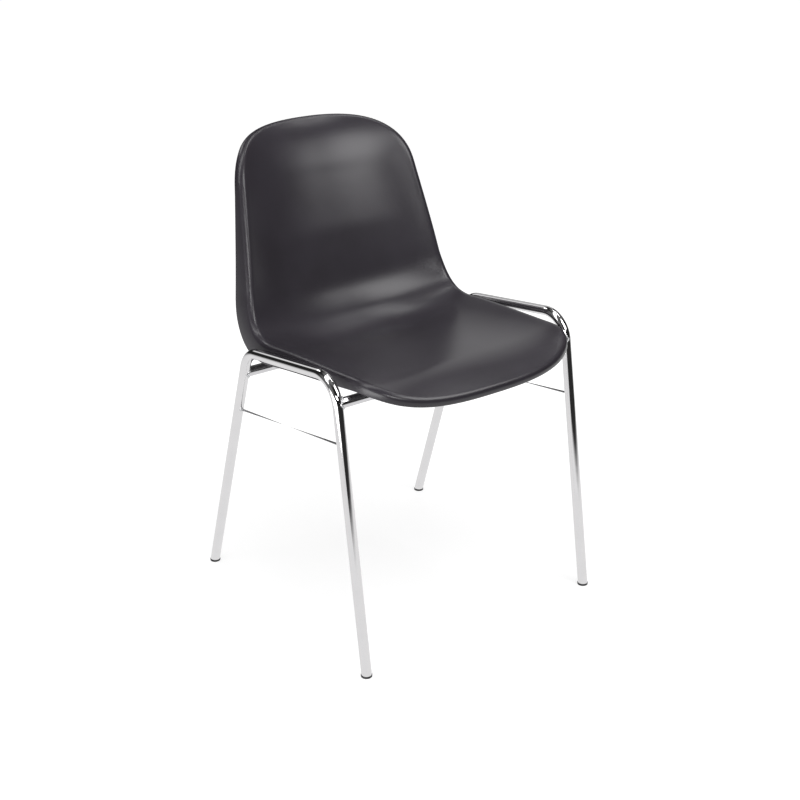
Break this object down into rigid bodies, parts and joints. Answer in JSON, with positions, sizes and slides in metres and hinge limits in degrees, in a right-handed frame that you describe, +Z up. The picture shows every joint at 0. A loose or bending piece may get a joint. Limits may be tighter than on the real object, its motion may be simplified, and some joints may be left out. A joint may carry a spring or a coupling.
{
  "type": "stacking shell chair",
  "caption": "Armless stacking chair: a one-piece moulded plastic seat and back with a turned-down rim, on a bent chrome tube frame with black foot glides.",
  "frame": {"origin": "on the floor, at the middle of the chair's footprint box", "axes": "+Z up, -Y the way the sitter faces, +X across the seat to the right of a viewer who faces the chair"},
  "size_m": [0.5194, 0.5625, 0.8256],
  "materials": {
    "shell": "fine-grained satin, charcoal with a faint warm violet cast",
    "side_tube": "bright chrome plate",
    "cross_tube": "bright chrome plate",
    "rod": "bright chrome plate",
    "weld": "weld bead under the chrome plate",
    "glide": "black, slightly glossy",
    "insert": "turned",
    "screw": "bright zinc plate",
    "washer": "black, as moulded"
  },
  "bodies": {
    "root": {"shell": "shell", "left_side_frame": "side_tube", "right_side_frame": "side_tube", "front_crossbar": "cross_tube", "rear_crossbar": "cross_tube", "left_side_rod": "rod", "right_side_rod": "rod", "front_left_glide": "glide", "front_right_glide": "glide", "rear_left_glide": "glide", "rear_right_glide": "glide", "front_crossbar_welds": "weld", "rear_crossbar_welds": "weld", "left_rod_welds": "weld", "right_rod_welds": "weld", "threaded_inserts": "insert", "fixing_screws": "screw", "screw_washers": "washer"}
  },
  "joints": []
}
